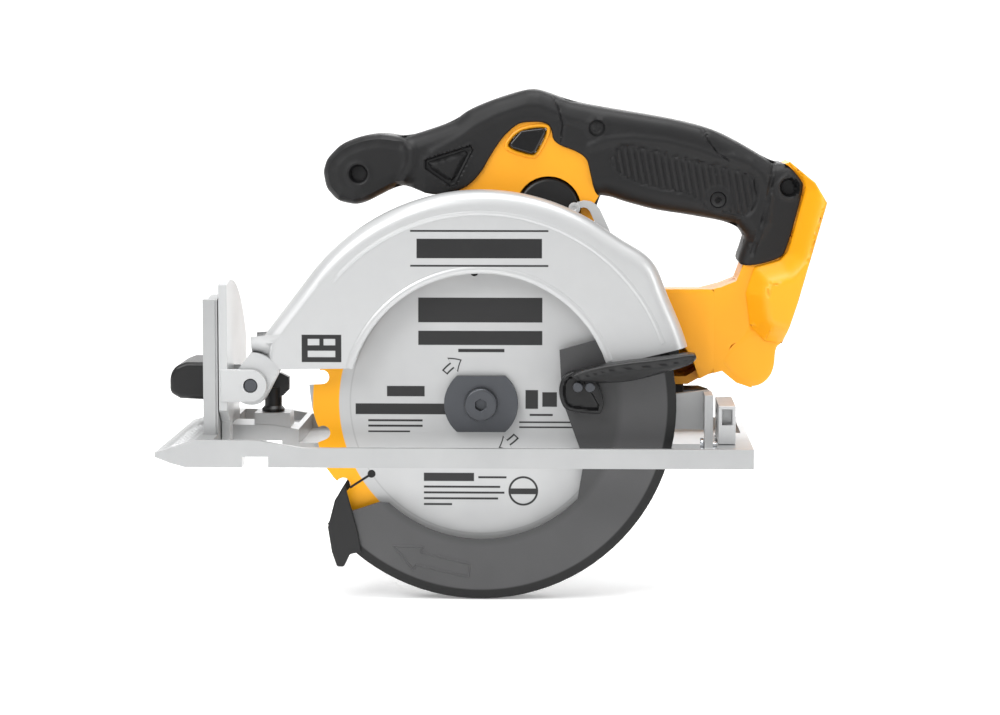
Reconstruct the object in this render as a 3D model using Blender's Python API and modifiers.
"""Cordless circular saw with its blade on the left of the motor.

+X points to the rear of the saw (the operator), -X is the cutting direction, +Y is the motor side
and +Z is up. The origin is on the sole of the shoe, at the middle of its width, straight under the
blade's axis. Distances across the saw are counted from the blade's middle plane ("out" is towards
the motor), and heights in the side outlines are counted from the sole.
"""
import bmesh
import bpy
from math import acos, asin, atan2, cos, degrees, hypot, pi, radians, sin
from mathutils import Matrix, Vector

MM = 0.001

# ---------------------------------------------------------------- driving dimensions
GAP = 0.3 * MM
CUT = 1.0 * MM

BLADE_RADIUS = 82.55 * MM
BLADE_PLATE = 1.2 * MM
BLADE_BORE_RADIUS = 7.94 * MM
TOOTH_COUNT = 18
GULLET_DEPTH = 9.0 * MM
BLADE_PLANE_Y = -30.0 * MM
BLADE_AXIS_HEIGHT = 26.4 * MM

LOWER_GUARD_CLEARANCE = 9.95 * MM
LOWER_GUARD_WALL = 1.8 * MM
LOWER_GUARD_HALF_WIDTH = 9.5 * MM
LOWER_GUARD_WINDOW = 64.0 * MM
LOWER_GUARD_HUB = 24.5 * MM
LOWER_GUARD_START = 218.0
LOWER_GUARD_END = 385.0
TOE_CHEEK = 1.5 * MM
GUARD_SIDE_GAP = 0.8 * MM
UPPER_GUARD_CLEARANCE = 9.0 * MM
UPPER_GUARD_WALL = 2.7 * MM
UPPER_GUARD_WINDOW = 62.7 * MM
UPPER_GUARD_END = 16.0
UPPER_GUARD_BREAK = 143.0
LEVER_HUB_THICK = 7.2 * MM
LEVER_BLADE_REACH = 14.0 * MM
RIVET_RADIUS = 2.4 * MM

SHOE_TOE_REACH = 22.4 * MM
SHOE_TAIL = 7.7 * MM
SHOE_HALF_WIDTH = 68.0 * MM
SHOE_FLOOR = 3.0 * MM
SHOE_FRONT_FLOOR = 7.2 * MM
SHOE_RIM = 9.2 * MM
SHOE_FRONT_RIM = 12.9 * MM
SHOE_RIM_WIDTH = 3.0 * MM
SHOE_RIB = 2.4 * MM
SHOE_TOE_RISE = 4.8 * MM
SHOE_TOE_LENGTH = 14.5 * MM
POCKET_COLUMNS = 4
SLOT_LEFT = 26.0 * MM
SLOT_RIGHT = 25.5 * MM
ABOVE_SHOE = 20.0 * MM
FENCE_SLOT_WIDTH = 12.0 * MM
FENCE_SLOT_HEIGHT = 5.0 * MM
FENCE_BLOCK_TOP = 18.4 * MM
FENCE_BLOCK_Y = 4.0 * MM
FENCE_BLOCK_SIZE = 20.0 * MM
FENCE_SCREW_RADIUS = 3.0 * MM
FENCE_WING_LENGTH = 16.0 * MM
FENCE_WING_THICK = 5.2 * MM

BEVEL_AXIS_HEIGHT = 6.0 * MM
BEVEL_SLOT_RADIUS = 61.3 * MM
BEVEL_REST_ANGLE = 26.1
BEVEL_RANGE = 50.0
QUADRANT_RIM = 10.7 * MM
QUADRANT_THICK = 4.6 * MM
QUADRANT_LEFT = 14.4 * MM
QUADRANT_FOOT = 7.2 * MM
QUADRANT_RIB = 2.2 * MM
QUADRANT_WINDOW_LIP = 12.0 * MM
TONGUE_HALF_WIDTH = 7.0 * MM
TONGUE_FOOT = 1.0 * MM
BRACKET_OVERHANG = 7.0 * MM
BRACKET_THICK = 4.0 * MM
BRACKET_GAP = 0.5 * MM
HINGE_PIN_RADIUS = 2.5 * MM
PIN_HEAD_LIP = 1.6 * MM
HINGE_EYE_WALL = 2.7 * MM
REAR_BRACKET_DEPTH = 8.0 * MM
REAR_BRACKET_TOP = 27.5 * MM
BEVEL_BOLT_RADIUS = 3.0 * MM
BEVEL_BOLT_TAIL = 11.0 * MM
KNOB_LENGTH = 22.5 * MM
KNOB_HALF_HEIGHT = 9.3 * MM
KNOB_HALF_WIDTH = 21.0 * MM

PIVOT_CLEARANCE = 7.0 * MM
PIVOT_TO_BRACKET = 11.0 * MM
DEPTH_PIVOT_RISE = 9.5 * MM
DEPTH_RANGE = 28.0
DEPTH_STUD_REACH = 67.5 * MM
DEPTH_SLOT_HALF_WIDTH = 3.3 * MM
DEPTH_REST_ANGLE = -2.0
DEPTH_QUADRANT_HALF_WIDTH = 8.0 * MM
DEPTH_QUADRANT_THICK = 3.4 * MM
DEPTH_BOLT_RADIUS = 3.0 * MM
DEPTH_LEVER_LENGTH = 30.0 * MM
DEPTH_LEVER_THICK = 8.5 * MM
DEPTH_FOOT_THICK = 4.0 * MM
DEPTH_FOOT_LOW = 12.6 * MM
DEPTH_FOOT_TOP = 31.6 * MM
SIDE_CLEARANCE = 0.6 * MM
EAR_CLEARANCE = 0.5 * MM
EAR_THICK = 3.8 * MM
EAR_WALL = 4.5 * MM
PIVOT_PIN_RADIUS = 3.1 * MM
PIVOT_BOSS_RADIUS = 9.6 * MM
PIVOT_BOSS_HALF_WIDTH = 11.5 * MM
EAR_RELIEF_RADIUS = 15.5 * MM

GEAR_MODULE = 0.9 * MM
GEAR_TEETH = 38
PINION_TEETH = 9
GEAR_FACE = 8.0 * MM
GEAR_BACK = 10.7 * MM
MOTOR_ANGLE = 78.0
SPINDLE_RADIUS = 7.0 * MM
SPINDLE_TAIL_RADIUS = 5.0 * MM
FLANGE_RADIUS = 17.6 * MM
FLANGE_THICK = 4.0 * MM
FLANGE_FLAT = 0.76
SCREW_RADIUS = 4.0 * MM
SCREW_HEAD_RADIUS = 7.9 * MM
SCREW_HEAD_THICK = 4.2 * MM
HEX_SOCKET_RADIUS = 2.9 * MM
GEAR_CASE_WALL = 2.8 * MM
GEAR_CASE_DEPTH = 32.0 * MM
GEAR_CASE_FACE = 6.0 * MM
GEAR_ROOM = 1.0 * MM
NOSE_WALL = 2.7 * MM
MOTOR_RADIUS = 37.0 * MM
MOTOR_LENGTH = 62.0 * MM
MOTOR_WALL = 2.6 * MM
MAGNET_THICK = 6.5 * MM
END_CAP_DEPTH = 11.0 * MM
SHAFT_RADIUS = 3.2 * MM
ARMATURE_GAP = 4.1 * MM
ARMATURE_LENGTH = 30.0 * MM
FAN_CLEARANCE = 4.4 * MM
FAN_DEPTH = 8.0 * MM
COMMUTATOR_RADIUS = 11.0 * MM
COMMUTATOR_LENGTH = 12.0 * MM
BRUSH_HOLDER_WIDTH = 8.0 * MM
MOTOR_BEARING_RADIUS = 8.7 * MM
FRONT_BEARING_RADIUS = 15.0 * MM
REAR_BEARING_RADIUS = 10.5 * MM

HANDLE_HALF_WIDTH = 18.0 * MM
HANDLE_CLEARANCE = 2.8 * MM
SHELL_WALL = 2.6 * MM
OVERMOULD_SKIN = 1.9 * MM
RECEIVER_HALF_WIDTH = 30.0 * MM
RECEIVER_DEPTH = 13.0 * MM
RAIL_CHANNEL_HALF_WIDTH = 22.0 * MM
RAIL_CHANNEL_DEPTH = 9.0 * MM
RAIL_GROOVE_DEPTH = 3.2 * MM
RAIL_LIP = 3.4 * MM
TERMINAL_HALF_WIDTH = 13.0 * MM
TRIGGER_HALF_WIDTH = 7.0 * MM
TRIGGER_CLEARANCE = 0.6 * MM
BUTTON_PROUD = 3.0 * MM
DOME_RADIUS = 15.5 * MM
DOME_HALF_WIDTH = 6.8 * MM
DOME_STEM_RADIUS = 3.0 * MM
DOME_INSET = 11.0 * MM
HANDLE_SCREW_RADIUS = 2.2 * MM
HANDLE_SCREW_HEAD = 3.6 * MM
HORN_HOLE_RADIUS = 3.9 * MM
WRENCH_RADIUS = 2.3 * MM

# ---------------------------------------------------------------- sizes and places worked out from them
LOWER_GUARD_RADIUS = BLADE_RADIUS + LOWER_GUARD_CLEARANCE
UPPER_GUARD_RADIUS = LOWER_GUARD_RADIUS + UPPER_GUARD_CLEARANCE
UPPER_GUARD_HALF_WIDTH = LOWER_GUARD_HALF_WIDTH + GUARD_SIDE_GAP + UPPER_GUARD_WALL
TOE_HALF_WIDTH = LOWER_GUARD_HALF_WIDTH + GAP + TOE_CHEEK
LEVER_HUB_OUT = LOWER_GUARD_HALF_WIDTH + GAP + LEVER_HUB_THICK
LEVER_BLADE_OUT = UPPER_GUARD_HALF_WIDTH + LEVER_BLADE_REACH
DEPTH_PIVOT_REACH = UPPER_GUARD_RADIUS + PIVOT_CLEARANCE
DEPTH_SLOT_RADIUS = DEPTH_PIVOT_REACH + DEPTH_STUD_REACH
EAR_INNER = PIVOT_BOSS_HALF_WIDTH + EAR_CLEARANCE
EAR_OUTER = EAR_INNER + EAR_THICK
EAR_RADIUS = PIVOT_PIN_RADIUS + EAR_WALL
BRACKET_REAR = -DEPTH_PIVOT_REACH - PIVOT_TO_BRACKET
BRACKET_FRONT = BRACKET_REAR - BRACKET_THICK
QUADRANT_BACK = BRACKET_FRONT - BRACKET_GAP
QUADRANT_FRONT = QUADRANT_BACK - QUADRANT_THICK
QUADRANT_RADIUS = BEVEL_SLOT_RADIUS + QUADRANT_RIM
BRACKET_RADIUS = QUADRANT_RADIUS + BRACKET_OVERHANG
HINGE_EYE_RADIUS = HINGE_PIN_RADIUS + HINGE_EYE_WALL
FOOT_FRONT = LOWER_GUARD_RADIUS + 13.5 * MM
FOOT_BACK = FOOT_FRONT + DEPTH_FOOT_THICK
SLOT_REAR = FOOT_BACK + 1.6 * MM
SLOT_FRONT = BRACKET_FRONT - 0.4 * MM
REAR_EYE_FRONT = SLOT_REAR + 0.4 * MM
REAR_EYE_BACK = REAR_EYE_FRONT + REAR_BRACKET_DEPTH
SHOE_FRONT = QUADRANT_FRONT - SHOE_TOE_REACH
SHOE_REAR = REAR_EYE_BACK + SHOE_TAIL
FENCE_SLOT_X = SLOT_FRONT + 19.9 * MM
FENCE_SCREW_X = FENCE_SLOT_X + 1.0 * MM
HANDLE_MIDDLE = (
    UPPER_GUARD_HALF_WIDTH + HANDLE_CLEARANCE + OVERMOULD_SKIN + GAP + HANDLE_HALF_WIDTH
)
HANDLE_FACE = HANDLE_MIDDLE - HANDLE_HALF_WIDTH
DOME_OUT = HANDLE_MIDDLE - DOME_INSET
DEPTH_QUADRANT_NEAR = UPPER_GUARD_HALF_WIDTH + SIDE_CLEARANCE
DEPTH_LEVER_NEAR = DEPTH_QUADRANT_NEAR + DEPTH_QUADRANT_THICK + GAP
DEPTH_LEVER_FAR = DEPTH_LEVER_NEAR + DEPTH_LEVER_THICK
GEAR_CENTRES = GEAR_MODULE * (GEAR_TEETH + PINION_TEETH) / 2
GEAR_CASE_RADIUS = GEAR_MODULE * (GEAR_TEETH / 2 + 1) + GEAR_ROOM + GEAR_CASE_WALL - 0.3 * MM
NOSE_RADIUS = FRONT_BEARING_RADIUS + GAP + NOSE_WALL
LOWER_GUARD_BORE = NOSE_RADIUS + 0.4 * MM
AXIS = Vector((0.0, BLADE_PLANE_Y, BLADE_AXIS_HEIGHT))
PIVOT = (-DEPTH_PIVOT_REACH, BLADE_AXIS_HEIGHT + DEPTH_PIVOT_RISE)
BEVEL = (BLADE_PLANE_Y, BEVEL_AXIS_HEIGHT)
MOTOR_X = GEAR_CENTRES * cos(radians(MOTOR_ANGLE))
MOTOR_Z = BLADE_AXIS_HEIGHT + GEAR_CENTRES * sin(radians(MOTOR_ANGLE))
MOTOR_AXIS = Vector((MOTOR_X, BLADE_PLANE_Y, MOTOR_Z))
CASE_START = UPPER_GUARD_HALF_WIDTH + GAP
CASE_END = CASE_START + GEAR_CASE_DEPTH
MOTOR_END = CASE_END + MOTOR_LENGTH
GEAR_OUT = CASE_START + GEAR_BACK
DRUM_INNER = MOTOR_RADIUS - MOTOR_WALL
MAGNET_INNER = DRUM_INNER - GAP - MAGNET_THICK
ARMATURE_RADIUS = MAGNET_INNER - ARMATURE_GAP
FAN_RADIUS = DRUM_INNER - FAN_CLEARANCE
FAN_START = CASE_END + 3.0 * MM
FAN_END = FAN_START + FAN_DEPTH
CORE_START = FAN_END + 4.0 * MM
CORE_END = CORE_START + ARMATURE_LENGTH
COMMUTATOR_START = CORE_END + 2.0 * MM
COMMUTATOR_END = COMMUTATOR_START + COMMUTATOR_LENGTH


def out(distance):
    """World Y of a distance counted from the blade's plane towards the motor."""
    return BLADE_PLANE_Y + distance


# ---------------------------------------------------------------- scene and materials
for old in list(bpy.data.objects):
    bpy.data.objects.remove(old, do_unlink=True)

PARTS = bpy.data.collections.new("circular_saw")
CUTTERS = bpy.data.collections.new("cutters")
bpy.context.scene.collection.children.link(PARTS)
bpy.context.scene.collection.children.link(CUTTERS)


def material(name, colour, roughness, metallic):
    """A Principled material of one plain finish."""
    finish = bpy.data.materials.new(name)
    finish.use_nodes = True
    shader = finish.node_tree.nodes["Principled BSDF"]
    shader.inputs["Base Color"].default_value = (*colour, 1.0)
    shader.inputs["Roughness"].default_value = roughness
    shader.inputs["Metallic"].default_value = metallic
    return finish


CAST_SILVER = material("cast_silver", (0.66, 0.67, 0.68), 0.45, 0.85)
SHOE_ALUMINIUM = material("shoe_aluminium", (0.72, 0.73, 0.74), 0.4, 0.9)
GUARD_GREY = material("guard_grey", (0.1, 0.1, 0.105), 0.5, 0.3)
BLACK_RUBBER = material("black_rubber", (0.03, 0.03, 0.032), 0.75, 0.0)
BLACK_PLASTIC = material("black_plastic", (0.02, 0.02, 0.022), 0.45, 0.0)
YELLOW_PLASTIC = material("yellow_plastic", (0.95, 0.45, 0.015), 0.4, 0.0)
BLADE_STEEL = material("blade_steel", (0.6, 0.6, 0.6), 0.35, 0.9)
DARK_STEEL = material("dark_steel", (0.12, 0.12, 0.125), 0.4, 0.9)
BRIGHT_STEEL = material("bright_steel", (0.62, 0.62, 0.63), 0.3, 1.0)
GEAR_STEEL = material("gear_steel", (0.45, 0.45, 0.46), 0.35, 1.0)
COPPER = material("copper", (0.6, 0.28, 0.13), 0.4, 1.0)
MAGNET_IRON = material("magnet_iron", (0.2, 0.2, 0.21), 0.6, 0.6)


# ---------------------------------------------------------------- modelling helpers
def link(name, mesh, finish, collection=PARTS):
    """A new object holding the mesh, in the parts collection unless told otherwise."""
    made = bpy.data.objects.new(name, mesh)
    collection.objects.link(made)
    if finish is not None:
        mesh.materials.append(finish)
    if collection is CUTTERS:
        made.hide_render = True
        made.display_type = "WIRE"
    return made


def round_off(mesh, angle=35.0):
    """Smooth shading with sharp edges where the surface turns more than the angle."""
    mesh.shade_smooth()
    mesh.set_sharp_from_angle(angle=radians(angle))


def block(name, low, high, finish, collection=PARTS):
    """A box between two opposite corners."""
    low = Vector(low)
    high = Vector(high)
    mesh = bpy.data.meshes.new(name)
    bm = bmesh.new()
    bmesh.ops.create_cube(bm, size=1.0, matrix=Matrix.Diagonal((*(high - low), 1.0)))
    bm.to_mesh(mesh)
    bm.free()
    made = link(name, mesh, finish, collection)
    made.location = (low + high) / 2
    return made


def rod(name, radius, start, end, finish, collection=PARTS, sides=24, end_radius=None):
    """A straight cylinder, or a cone frustum, between two points on its axis."""
    start = Vector(start)
    end = Vector(end)
    mesh = bpy.data.meshes.new(name)
    bm = bmesh.new()
    bmesh.ops.create_cone(
        bm, cap_ends=True, segments=sides, radius1=radius,
        radius2=radius if end_radius is None else end_radius, depth=(end - start).length,
    )
    bm.to_mesh(mesh)
    bm.free()
    made = link(name, mesh, finish, collection)
    made.location = (start + end) / 2
    made.rotation_euler = (end - start).to_track_quat("Z", "Y").to_euler()
    round_off(mesh)
    return made


def turned(name, profile, centre, finish, steps=40, direction=(0, 1, 0), collection=PARTS):
    """A shape turned about an axis through the centre: profile points are (radius, distance along
    the axis), listed down the outer side from the far end to the near end and back up the inside."""
    closed = profile[0][0] > 0 and profile[-1][0] > 0
    mesh = bpy.data.meshes.new(name)
    points = [(radius, 0.0, along) for radius, along in profile]
    edges = [(i, i + 1) for i in range(len(points) - 1)]
    if closed:
        edges.append((len(points) - 1, 0))
    mesh.from_pydata(points, edges, [])
    made = link(name, mesh, finish, collection)
    made.location = centre
    made.rotation_euler = Vector(direction).to_track_quat("Z", "Y").to_euler()
    screw = made.modifiers.new("turn", "SCREW")
    screw.axis = "Z"
    screw.angle = 2 * pi
    screw.steps = steps
    screw.render_steps = steps
    screw.use_merge_vertices = True
    screw.merge_threshold = 0.00001
    screw.use_smooth_shade = False
    return made


def ring(name, outer, inner, near, far, centre, finish, steps=40, direction=(0, 1, 0)):
    """A plain turned ring, such as a bearing or a flange with a bore."""
    profile = [(outer, far), (outer, near), (inner, near), (inner, far)]
    return turned(name, profile, centre, finish, steps, direction)


TURN = {
    "XZ": Matrix(((1, 0, 0), (0, 0, -1), (0, 1, 0))),
    "YZ": Matrix(((0, 0, 1), (1, 0, 0), (0, 1, 0))),
    "XY": Matrix.Identity(3),
}
NORMAL = {"XZ": Vector((0, 1, 0)), "YZ": Vector((1, 0, 0)), "XY": Vector((0, 0, 1))}


def plate(name, loops, low, high, plane, finish, collection=PARTS):
    """A flat outline, with any holes as further loops, given thickness between two levels along
    the plane's normal. The filled curve is made a mesh and its caps are welded."""
    curve = bpy.data.curves.new(name, "CURVE")
    curve.dimensions = "2D"
    curve.fill_mode = "BOTH"
    curve.extrude = (high - low) / 2
    for loop in loops:
        spline = curve.splines.new("POLY")
        spline.points.add(len(loop) - 1)
        spline.use_cyclic_u = True
        for point, (u, v) in zip(spline.points, loop):
            point.co = (u, v, 0.0, 1.0)
    guide = bpy.data.objects.new(name + "_outline", curve)
    bpy.context.scene.collection.objects.link(guide)
    middle = NORMAL[plane] * (low + high) / 2
    guide.matrix_world = Matrix.Translation(middle) @ TURN[plane].to_4x4()
    bpy.context.view_layer.update()
    mesh = bpy.data.meshes.new_from_object(guide.evaluated_get(bpy.context.evaluated_depsgraph_get()))
    bm = bmesh.new()
    bm.from_mesh(mesh)
    bmesh.ops.remove_doubles(bm, verts=bm.verts, dist=0.000001)
    bmesh.ops.recalc_face_normals(bm, faces=bm.faces)
    bm.to_mesh(mesh)
    bm.free()
    mesh.materials.clear()
    made = link(name, mesh, finish, collection)
    made.matrix_world = guide.matrix_world
    bpy.data.objects.remove(guide, do_unlink=True)
    round_off(mesh)
    return made


def boolean(target, tool, operation):
    """Join or cut with a cutter, which stays in the cutters collection."""
    step = target.modifiers.new(tool.name, "BOOLEAN")
    step.operation = operation
    step.solver = "EXACT"
    step.object = tool
    if tool.name in PARTS.objects:
        PARTS.objects.unlink(tool)
        CUTTERS.objects.link(tool)
        tool.hide_render = True
        tool.display_type = "WIRE"
    return target


def cut(target, *tools):
    """Take each tool's volume out of the target."""
    for tool in tools:
        boolean(target, tool, "DIFFERENCE")
    return target


def join(target, *tools):
    """Add each tool's volume to the target."""
    for tool in tools:
        boolean(target, tool, "UNION")
    return target


def arc(centre, radius, start, end, steps):
    """Points on a circle from one angle to another, in degrees, both ends included."""
    angles = [radians(start + (end - start) * i / steps) for i in range(steps + 1)]
    return [(centre[0] + radius * cos(a), centre[1] + radius * sin(a)) for a in angles]


def circle(centre, radius, steps=24):
    """A closed round loop."""
    return arc(centre, radius, 0, 360 - 360 / steps, steps - 1)


def arc_slot(centre, radius, half_width, start, end, steps=12):
    """The outline of a curved slot with round ends."""
    first = arc(centre, radius, start, start, 1)[0]
    last = arc(centre, radius, end, end, 1)[0]
    loop = arc(centre, radius + half_width, start, end, steps)
    loop += arc(last, half_width, end, end + 180, 6)[1:-1]
    loop += arc(centre, radius - half_width, end, start, steps)
    loop += arc(first, half_width, start + 180, start + 360, 6)[1:-1]
    return loop


def belt(first, first_radius, second, second_radius, steps=20):
    """The outline of a belt round two circles."""
    reach = hypot(second[0] - first[0], second[1] - first[1])
    heading = degrees(atan2(second[1] - first[1], second[0] - first[0]))
    lean = degrees(acos((first_radius - second_radius) / reach))
    loop = arc(second, second_radius, heading - lean, heading + lean, steps)
    return loop + arc(first, first_radius, heading + lean, heading + 360 - lean, steps)


def offset(loop, distance):
    """The loop with each side moved outwards by the distance, its corners mitred. A negative
    distance moves the sides inwards."""
    count = len(loop)
    area = sum(loop[i - 1][0] * loop[i][1] - loop[i][0] * loop[i - 1][1] for i in range(count))
    side = 1.0 if area > 0 else -1.0
    moved = []
    for i in range(count):
        before = Vector(loop[i]) - Vector(loop[i - 1])
        after = Vector(loop[(i + 1) % count]) - Vector(loop[i])
        before.normalize()
        after.normalize()
        first = Vector((before.y, -before.x)) * side
        second = Vector((after.y, -after.x)) * side
        mitre = (first + second) / max(1.0 + first.dot(second), 0.3)
        moved.append((loop[i][0] + mitre.x * distance, loop[i][1] + mitre.y * distance))
    return moved


def mm(points):
    """Points written in millimetres, as metres."""
    return [(u * MM, v * MM) for u, v in points]


def carry(name, place, *pieces):
    """An empty on a joint's axis that carries the pieces of one moving body."""
    empty = bpy.data.objects.new(name, None)
    PARTS.objects.link(empty)
    empty.location = place
    for piece in pieces:
        piece.parent = empty
        piece.matrix_parent_inverse = Matrix.Translation(-Vector(place))
    return empty


# ---------------------------------------------------------------- shoe and its fixed brackets
def make_shoe():
    """The cast base plate: a flat sole with a turned-up toe, a rim, the blade's opening, the
    rip fence's groove across its front and the block that holds the fence screw."""
    front = SHOE_FRONT
    rear = SHOE_REAR
    side = [
        (front, SHOE_TOE_RISE), (front + SHOE_TOE_LENGTH / 2, SHOE_TOE_RISE * 0.4),
        (front + SHOE_TOE_LENGTH, 0.0), (rear, 0.0), (rear, SHOE_RIM),
        (front + 69 * MM, SHOE_RIM), (front + 49 * MM, SHOE_FRONT_RIM - 0.4 * MM),
        (front + 19 * MM, SHOE_FRONT_RIM), (front + 8.5 * MM, SHOE_RIM),
        (front, SHOE_TOE_RISE + 2.0 * MM),
    ]
    shoe = plate("shoe", [side], -SHOE_HALF_WIDTH, SHOE_HALF_WIDTH, "XZ", SHOE_ALUMINIUM)
    slot = block(
        "blade_opening", (SLOT_FRONT, out(-SLOT_LEFT), -CUT), (SLOT_REAR, out(SLOT_RIGHT), ABOVE_SHOE),
        None, CUTTERS,
    )
    inner = SHOE_HALF_WIDTH - SHOE_RIM_WIDTH
    front_end = SLOT_FRONT + 34 * MM
    left = block(
        "left_strip_pocket", (front_end, -inner, SHOE_FLOOR),
        (SLOT_REAR, out(-SLOT_LEFT) + CUT, ABOVE_SHOE), None, CUTTERS,
    )
    left_front = block(
        "left_front_pocket", (SLOT_FRONT, -inner, SHOE_FRONT_FLOOR),
        (front_end + CUT, out(-SLOT_LEFT) + CUT, ABOVE_SHOE), None, CUTTERS,
    )
    tools = [slot, left, left_front]
    right_start = out(SLOT_RIGHT) + SHOE_RIM_WIDTH
    pitch = (SHOE_REAR - SHOE_RIM_WIDTH - front_end) / POCKET_COLUMNS
    for column in range(POCKET_COLUMNS):
        low_x = front_end + column * pitch + (SHOE_RIB if column else 0.0)
        tools.append(block(
            "motor_side_pocket_%d" % column, (low_x, right_start, SHOE_FLOOR),
            (front_end + (column + 1) * pitch, inner, ABOVE_SHOE), None, CUTTERS,
        ))
    tools.append(block(
        "gear_case_room", (front_end, out(SLOT_RIGHT) - CUT, SHOE_FLOOR + 1.0 * MM),
        (SLOT_REAR, right_start + CUT, ABOVE_SHOE), None, CUTTERS,
    ))
    tools.append(rod(
        "gear_case_clearance", GEAR_CASE_RADIUS + 2 * GAP, (AXIS.x, out(CASE_START - CUT), AXIS.z),
        (AXIS.x, out(CASE_END + CUT), AXIS.z), None, CUTTERS, 64,
    ))
    tools.append(block(
        "motor_side_front_pocket", (SLOT_FRONT, right_start + 22 * MM, SHOE_FRONT_FLOOR),
        (front_end - SHOE_RIB, inner, ABOVE_SHOE), None, CUTTERS,
    ))
    half = FENCE_SLOT_WIDTH / 2
    tools.append(block(
        "fence_groove", (FENCE_SLOT_X - half, -SHOE_HALF_WIDTH - CUT, -CUT),
        (FENCE_SLOT_X + half, SHOE_HALF_WIDTH + CUT, FENCE_SLOT_HEIGHT), None, CUTTERS,
    ))
    size = FENCE_BLOCK_SIZE / 2
    fence_block = block(
        "fence_block", (FENCE_SLOT_X - size * 0.75, out(SLOT_RIGHT) + 0.5 * MM, SHOE_FRONT_FLOOR - CUT),
        (FENCE_SLOT_X + size * 1.0, FENCE_BLOCK_Y + size, FENCE_BLOCK_TOP), None, CUTTERS,
    )
    bore = rod(
        "fence_screw_bore", FENCE_SCREW_RADIUS + GAP, (FENCE_SCREW_X, FENCE_BLOCK_Y, FENCE_SLOT_HEIGHT - CUT),
        (FENCE_SCREW_X, FENCE_BLOCK_Y, FENCE_BLOCK_TOP + CUT), None, CUTTERS, 16,
    )
    cut(shoe, *tools)
    join(shoe, fence_block)
    cut(shoe, bore)
    return shoe


def make_fence_screw():
    """The thumb screw that clamps the rip fence: a threaded stud, a flange and a winged head."""
    place = Vector((FENCE_SCREW_X, FENCE_BLOCK_Y, 0.0))
    stud = FENCE_SCREW_RADIUS
    top = FENCE_BLOCK_TOP
    profile = [
        (0.0, top + 12 * MM), (stud + 1.2 * MM, top + 12 * MM), (stud + 1.2 * MM, top + 3 * MM),
        (stud + 2.6 * MM, top + GAP + 1.2 * MM), (stud + 2.6 * MM, top + GAP), (stud, top + GAP),
        (stud, FENCE_SLOT_HEIGHT + GAP), (0.0, FENCE_SLOT_HEIGHT + GAP),
    ]
    screw = turned("fence_screw", profile, place, BLACK_PLASTIC, 20, (0, 0, 1))
    half = FENCE_WING_LENGTH / 2
    wing = [
        (-half, top + 8 * MM), (-half + 3 * MM, top + 7 * MM), (half - 3 * MM, top + 8 * MM),
        (half, top + 11 * MM), (half, top + 17 * MM), (half - 4 * MM, top + 19 * MM),
        (-half + 3 * MM, top + 18 * MM), (-half, top + 14 * MM),
    ]
    loop = [(place.x + u, v) for u, v in wing]
    thick = FENCE_WING_THICK / 2
    head = plate("fence_screw_wing", [loop], place.y - thick, place.y + thick, "XZ", None, CUTTERS)
    return join(screw, head)


BEVEL_BOLT = arc(BEVEL, BEVEL_SLOT_RADIUS, BEVEL_REST_ANGLE, BEVEL_REST_ANGLE, 1)[0]


def make_bevel_quadrant():
    """The upright plate at the front of the shoe, with the curved slot for the bevel bolt, a tongue
    down to the hinge pin and a post along its left edge."""
    left_edge = out(-QUADRANT_LEFT)
    foot = QUADRANT_FOOT
    back = QUADRANT_BACK
    half = TONGUE_HALF_WIDTH
    loop = [
        (left_edge, foot), (BEVEL[0] - half, foot), (BEVEL[0] - half, TONGUE_FOOT),
        (BEVEL[0] + half, TONGUE_FOOT), (BEVEL[0] + half, foot), (BEVEL[0] + QUADRANT_RADIUS, foot),
    ]
    loop += arc(BEVEL, QUADRANT_RADIUS, 8, 102, 22)
    slot = arc_slot(
        BEVEL, BEVEL_SLOT_RADIUS, BEVEL_BOLT_RADIUS + GAP,
        BEVEL_REST_ANGLE - 2, BEVEL_REST_ANGLE + BEVEL_RANGE + 2,
    )
    eye = circle(BEVEL, HINGE_PIN_RADIUS + GAP, 16)
    window = [
        (out(14 * MM), SHOE_FRONT_RIM + 4 * MM), (out(40 * MM), SHOE_FRONT_RIM + 4 * MM),
    ] + arc(BEVEL, BEVEL_SLOT_RADIUS - QUADRANT_WINDOW_LIP, 32, 72, 8)
    quadrant = plate("bevel_quadrant", [loop, slot, eye, window], QUADRANT_FRONT, back, "YZ", SHOE_ALUMINIUM)
    post = block(
        "quadrant_post", (QUADRANT_FRONT - QUADRANT_RIB, left_edge - 1.6 * MM, foot + 0.5 * MM),
        (back - 1.0 * MM, left_edge + 4 * MM, BEVEL[1] + QUADRANT_RADIUS - 1.3 * MM), None, CUTTERS,
    )
    return join(quadrant, post)


def seat_quadrant(shoe):
    """Cut the shoe's front for the foot of the quadrant, which stands in it with a small gap."""
    back = QUADRANT_BACK
    wide = block(
        "quadrant_seat",
        (QUADRANT_FRONT - QUADRANT_RIB - GAP, out(-QUADRANT_LEFT) - 1.6 * MM - GAP, QUADRANT_FOOT - GAP),
        (back + CUT, BEVEL[0] + QUADRANT_RADIUS + GAP, ABOVE_SHOE), None, CUTTERS,
    )
    deep = block(
        "quadrant_tongue_seat", (QUADRANT_FRONT - GAP, BEVEL[0] - TONGUE_HALF_WIDTH - GAP, TONGUE_FOOT - GAP),
        (back + CUT, BEVEL[0] + TONGUE_HALF_WIDTH + GAP, ABOVE_SHOE), None, CUTTERS,
    )
    head = rod(
        "hinge_pin_head_room", HINGE_PIN_RADIUS + PIN_HEAD_LIP + GAP, (QUADRANT_FRONT - 3.0 * MM, *BEVEL),
        (QUADRANT_FRONT + CUT, *BEVEL), None, CUTTERS, 20,
    )
    cut(shoe, wide, deep, head)


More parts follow.
